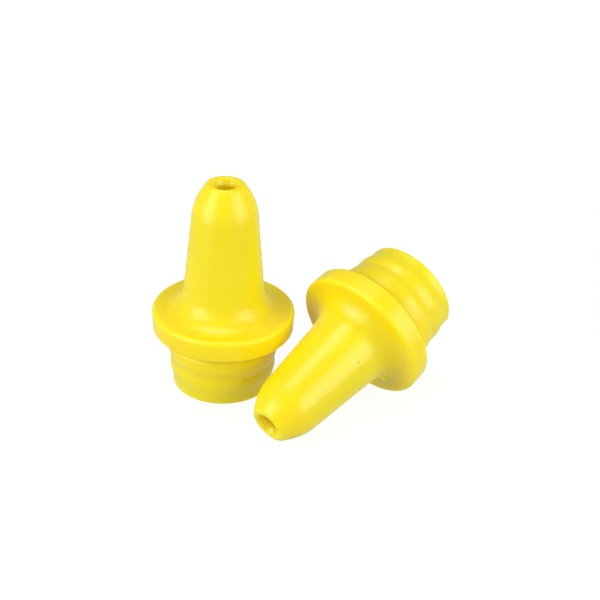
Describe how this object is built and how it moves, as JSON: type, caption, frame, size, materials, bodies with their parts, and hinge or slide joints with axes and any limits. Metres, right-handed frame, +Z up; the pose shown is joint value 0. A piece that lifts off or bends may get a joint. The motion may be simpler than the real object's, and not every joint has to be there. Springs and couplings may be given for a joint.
{
  "type": "push-in fence insulator pair",
  "caption": "Hollow yellow push-in insulators for electric fencing, each with a ringed plug skirt, a flange and a tapering nose with a lead hole in its tip.",
  "frame": {"origin": "centre of the standing piece's skirt rim, on the surface that both pieces rest on", "axes": "+Z up along the standing piece's axis, from the skirt to the nose's tip; +X towards the lying piece; the lying piece's nose points to -X and -Y"},
  "size_m": [0.0756, 0.0506, 0.0554],
  "materials": {
    "insulator_plastic": "satin, waxy moulded polyethylene"
  },
  "bodies": {
    "standing_piece": {"standing_insulator": "insulator_plastic"},
    "lying_piece": {"lying_insulator": "insulator_plastic"}
  },
  "joints": [
    {"name": "lift_lying_insulator", "type": "slide", "parent": "standing_piece", "child": "lying_piece", "axis": [0, 0, 1], "range_m": [0, 0.06]}
  ]
}
